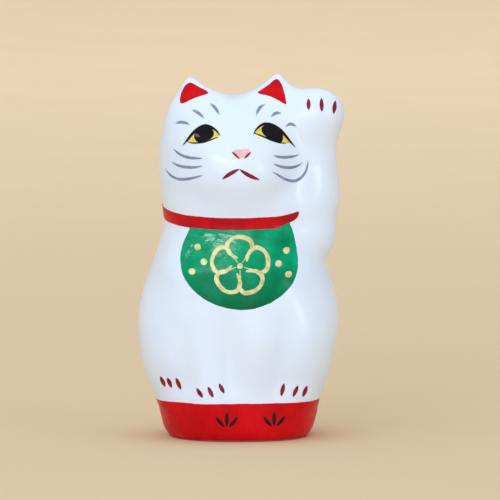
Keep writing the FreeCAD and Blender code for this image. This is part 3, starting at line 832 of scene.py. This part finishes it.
def build_blossom(painter):
    """A gold plum blossom: five round petals, each one brush stroke, round a heart with fine stamens."""
    low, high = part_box("bib_blossom")
    centre = np.array([low.x + high.x, low.z + high.z]) / 2 / MM
    reach = (high.z - low.z) / MM / 2 * 1.06
    shape = [(0.27, -0.10), (0.44, -0.36), (0.72, -0.44), (0.94, -0.22),
             (0.97, 0.06), (0.84, 0.36), (0.56, 0.40), (0.34, 0.20)]
    widths = np.array([0.45, 0.9, 1.0, 0.85, 1.0, 1.05, 0.8, 0.3]) * BLOSSOM_STROKE
    loops = []
    for petal in range(PETALS):
        turn = 2 * pi * petal / PETALS + 0.06 * sin(7.0 * petal)
        out, side = np.array([sin(turn), cos(turn)]), np.array([cos(turn), -sin(turn)])
        line = [centre + reach * (r * out + s * side) for r, s in shape]
        loops.append(hand_drawn(stroke_outline(line, widths), 0.15, 0.07, grain=0.9, seed=petal))
    for stamen in range(PETALS):
        turn = 2 * pi * (stamen + 0.5) / PETALS
        out = np.array([sin(turn), cos(turn)])
        line = [centre + reach * r * out for r in (0.14, 0.27, 0.40)]
        loops.append(hand_drawn(stroke_outline(line, [0.35, 0.4, 0.9], 16), 0.12, 0.03, seed=stamen + 20))
    turns = np.linspace(0, 2 * pi, 24, endpoint=False)
    heart = centre + HEART_RADIUS * np.stack([np.cos(turns), np.sin(turns)], axis=1)
    loops.append(hand_drawn(heart, 0.15, 0.08, grain=0.8, seed=40))
    painter.piece("bib_blossom", loops, "gold_paint", "gold", spacing=0.25, lift=DETAIL)


def lower_lid(iris):
    """The line along the lower edge of an eye, from one corner to the other."""
    loop = counter_clockwise(iris)
    first, last = np.argmin(loop[:, 0]), np.argmax(loop[:, 0])
    lower = np.roll(loop, -first, axis=0)[: (last - first) % len(loop) + 1]
    line = lower[:: max(len(lower) // 7, 1)]
    return stroke_outline(line, [0.25, 0.42, 0.5, 0.42, 0.25])


def build_eye(painter, side):
    """One eye: its yellow, its pupil, and its lids as one line above and one below."""
    iris = [hand_drawn(loop, 0.15, 0.03) for loop in film_outlines("iris_" + side)]
    painter.piece("iris_" + side, iris, "yellow_paint", "yellow", spacing=0.22)
    pupil = [hand_drawn(loop, 0.15, 0.04) for loop in film_outlines("pupil_" + side)]
    painter.piece("pupil_" + side, pupil, "black_paint", "black", spacing=0.22, lift=DETAIL)
    lids = [hand_drawn(loop, 0.12, 0.03) for loop in film_outlines("eyelid_" + side)]
    lids.append(lower_lid(iris[0]))
    painter.piece(
        "eyelid_" + side, lids, "black_paint", "black", spacing=0.18, lift=TOP_DETAIL, edge=FINE_EDGE)


def build_face(painter):
    """Ears, eyes, whiskers and brows on each side, then the nose and mouth."""
    for side in ("right", "left"):
        ear = [hand_drawn(loop, 0.2, 0.06) for loop in film_outlines("ear_red_" + side)]
        painter.piece("ear_red_" + side, ear, "red_paint", "ear_red")
        build_eye(painter, side)
        for node in ("whiskers_" + side, "brow_" + side):
            painter.piece(
                node, drawn_strokes(node, 0.15, 0.04, grow=0.05), "slate_paint", "slate",
                spacing=0.2, lift=HAIR_FILM, fade=1.6, edge=FINE_EDGE)
    nose = [hand_drawn(loop, 0.15, 0.04) for loop in film_outlines("nose")]
    painter.piece("nose", nose, "pink_paint", "pink", spacing=0.22)
    for node, material in (("nostrils", "line_red"), ("mouth", "dark_red")):
        painter.piece(
            node, drawn_strokes(node, 0.12, 0.04), "dark_red_paint", material,
            spacing=0.18, lift=DETAIL, fade=0.7, edge=FINE_EDGE)


def build_claws_and_sprigs(painter):
    """The claw strokes of each paw, and the two sprigs on the base band."""
    for paw in ("raised_paw", "right_hind_paw", "right_fore_paw", "left_hind_paw"):
        node = "claws_" + paw
        painter.piece(
            node, drawn_strokes(node, 0.12, 0.05, grow=0.03), "dark_red_paint", "dark_red",
            spacing=0.2, fade=0.7, edge=FINE_EDGE)
    painter.piece(
        "base_sprigs", drawn_strokes("base_sprigs", 0.12, 0.06), "black_paint", "base_black",
        spacing=0.2, lift=DETAIL, fade=0.8, edge=FINE_EDGE)


# ---------------------------------------------------------------- foot and hidden pieces

def build_foot_paper():
    """The pasted foot paper: a thin disc with an unevenly cut edge and faint wrinkles."""
    low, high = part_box("foot_paper")
    half = np.array([high.x - low.x, high.y - low.y]) / MM / 2
    middle = np.array([high.x + low.x, high.y + low.y]) / MM / 2
    top = high.z / MM
    turns = np.linspace(0, 2 * pi, 180, endpoint=False)
    circle = np.stack([np.cos(turns), np.sin(turns)], axis=1)
    cut = 0.985 - 0.012 * (1 + rough(np.stack([*circle.T * 6, 0 * turns], axis=1), 1.0, seed=11.0))
    squareness = 2.25
    reach = (abs(circle) ** squareness).sum(axis=1) ** (-1 / squareness) * cut
    rings = []
    for share in np.linspace(0.06, 1, 26):
        flat = circle * (reach * share)[:, None] * half + middle
        rings.append(np.stack([flat[:, 0], flat[:, 1], 0 * turns], axis=1))
    lower = np.array(rings)
    wrinkle = 0.05 * (1 + rough(lower, (7.0, 2.2, 1.0), seed=13.0)) * (1 + rough(lower, 11.0, seed=17.0)) / 2
    lower[..., 2] = np.clip(wrinkle, 0, 0.14)
    upper = lower.copy()
    upper[..., 2] = top
    rows = np.concatenate([lower, upper[::-1]])
    corners = np.concatenate([rows.reshape(-1, 3), [[*middle, 0.03], [*middle, top]]])
    columns = len(turns)
    faces = band_faces(len(rows), columns)
    final = (len(rows) - 1) * columns
    for c in range(columns):
        after = (c + 1) % columns
        faces.append([after, c, len(corners) - 2])
        faces.append([final + c, final + after, len(corners) - 1])
    make_piece("foot_paper_sheet", corners, faces, MATERIALS["pasted_paper"], "foot_paper")


def dress_hidden_nodes():
    """Materials for the CAD nodes inside the coat, which are used as they are."""
    for node, material in (
        ("paper_shell_front", "moulded_paper"),
        ("paper_shell_rear", "moulded_paper"),
        ("joint_strip", "pasted_paper"),
        ("base_board", "card"),
        ("clay_weight", "clay"),
    ):
        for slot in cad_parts[node].material_slots:
            slot.material = MATERIALS[material]


# ---------------------------------------------------------------- stage, light and camera

FLOOR_FRONT, FLOOR_REAR, FLOOR_HALF_WIDTH = -4.5, 3.8, 4.5
BACKDROP_RADIUS, BACKDROP_HEIGHT = 1.2, 4.0

MIDDLE = Vector((0.0, 0.0, 0.055))    # of the figurine, where the lights aim

CAMERA_DISTANCE = 3.0
CAMERA_ELEVATION = 5.0       # degrees above the horizon
VIEW_WIDTH = 0.1520          # width of the picture at the figurine
AIM = Vector((0.0034, 0.0, 0.0565))


def build_stage():
    """A pale floor that rises in a wide curve into a backdrop, with painted shade darkening it near the
    figurine.
    """
    profile = [(FLOOR_FRONT, 0.0), (FLOOR_REAR, 0.0)]
    for a in np.linspace(0, pi / 2, 24)[1:]:
        profile.append((FLOOR_REAR + BACKDROP_RADIUS * sin(a), BACKDROP_RADIUS * (1 - cos(a))))
    profile.append((FLOOR_REAR + BACKDROP_RADIUS, BACKDROP_HEIGHT))
    corners = [(side * FLOOR_HALF_WIDTH, y, z) for y, z in profile for side in (-1, 1)]
    faces = [[2 * i, 2 * i + 1, 2 * i + 3, 2 * i + 2] for i in range(len(profile) - 1)]
    mesh = bpy.data.meshes.new("floor")
    mesh.from_pydata(corners, [], faces)
    mesh.polygons.foreach_set("use_smooth", [True] * len(mesh.polygons))
    floor = bpy.data.objects.new("floor", mesh)
    bpy.context.scene.collection.objects.link(floor)
    m = Material("pale_floor", roughness=0.9, specular=0.2)
    tone = m.ramp(m.noise(60, 4), (0.3, (0.89, 0.69, 0.47)), (0.7, (0.91, 0.71, 0.49)))
    # painted shade: the floor is coloured darker near the figurine, where the lamps light it most, and
    # lighter towards the back, where their light falls off
    painted_shade_fade = m.ramp(m.along("Y", -0.2, 1.5), (0.0, 0.0), (1.0, 1.0))
    m.colour(m.mix(painted_shade_fade, (0.75, 0.565, 0.365), tone))
    mesh.materials.append(m.data)


def towards(azimuth, elevation, distance):
    """A place seen from the figurine's middle: degrees to the right of the front, degrees up, metres."""
    turn, tilt = radians(azimuth), radians(elevation)
    return MIDDLE + distance * Vector((sin(turn) * cos(tilt), -cos(turn) * cos(tilt), sin(tilt)))


def area_light(name, place, aim, width, height, power, colour=(1, 1, 1)):
    """A rectangular lamp at a place, turned to face aim."""
    data = bpy.data.lights.new(name, "AREA")
    data.shape = "RECTANGLE"
    data.size, data.size_y = width, height
    data.energy, data.color = power, colour
    light = bpy.data.objects.new(name, data)
    light.location = place
    light.rotation_euler = (Vector(aim) - Vector(place)).to_track_quat("-Z", "Y").to_euler()
    bpy.context.scene.collection.objects.link(light)


def soft_room():
    """A dim room round a broad bright ceiling."""
    world = bpy.data.worlds.new("soft_room")
    world.use_nodes = True
    nodes, links = world.node_tree.nodes, world.node_tree.links
    position = nodes.new("ShaderNodeSeparateXYZ")
    links.new(nodes.new("ShaderNodeTexCoord").outputs["Generated"], position.inputs[0])
    ramp = nodes.new("ShaderNodeValToRGB")
    stops = [(0.0, 0.60), (0.25, 0.74), (0.6, 0.98), (1.0, 1.02)]
    elements = ramp.color_ramp.elements
    while len(elements) < len(stops):
        elements.new(0.5)
    for element, (place, level) in zip(elements, stops):
        element.position, element.color = place, (level * 0.88, level * 0.95, level, 1)
    links.new(position.outputs["Z"], ramp.inputs["Fac"])
    links.new(ramp.outputs["Color"], nodes["Background"].inputs["Color"])
    nodes["Background"].inputs["Strength"].default_value = 0.85
    bpy.context.scene.world = world


def build_lights():
    """A wide low window at the front left, a softer one at the right, and fills that keep the shade cool."""
    cool = (0.86, 0.94, 1.0)
    area_light("window", towards(-22, 23, 1.25), MIDDLE, 0.85, 0.12, 3.6, cool)
    area_light("side", towards(50, 8, 1.3), MIDDLE, 0.24, 0.24, 1.95, (0.88, 0.93, 1.0))
    area_light("lamp", towards(-64, 39, 1.1), MIDDLE, 0.11, 0.11, 0.5, cool)
    area_light("low_fill", towards(-4, 5, 0.9), MIDDLE, 0.5, 0.5, 1.8, (0.47, 0.61, 0.99))
    area_light("top", (-0.2, 0.15, 1.4), MIDDLE, 1.0, 1.0, 0.8, cool)
    area_light("background", (0.0, 1.5, 1.6), (0.0, 2.4, 0.0), 2.5, 1.2, 8.0)
    soft_room()
    bpy.context.scene.view_settings.view_transform = "Standard"


def build_camera():
    """The camera, in front of the figurine and a little above it."""
    data = bpy.data.cameras.new("camera")
    data.sensor_width = 36.0
    data.lens = data.sensor_width * CAMERA_DISTANCE / VIEW_WIDTH
    camera = bpy.data.objects.new("camera", data)
    tilt = radians(CAMERA_ELEVATION)
    back = Vector((0.0, -cos(tilt), sin(tilt)))
    camera.location = AIM + back * CAMERA_DISTANCE
    camera.rotation_euler = (-back).to_track_quat("-Z", "Y").to_euler()
    bpy.context.scene.collection.objects.link(camera)
    bpy.context.scene.camera = camera


skin = build_skin()
painter = Painter(skin)
build_base_band(skin)
build_collar(skin)
build_bib(painter)
build_blossom(painter)
build_face(painter)
build_claws_and_sprigs(painter)
build_foot_paper()
dress_hidden_nodes()
build_stage()
build_lights()
build_camera()
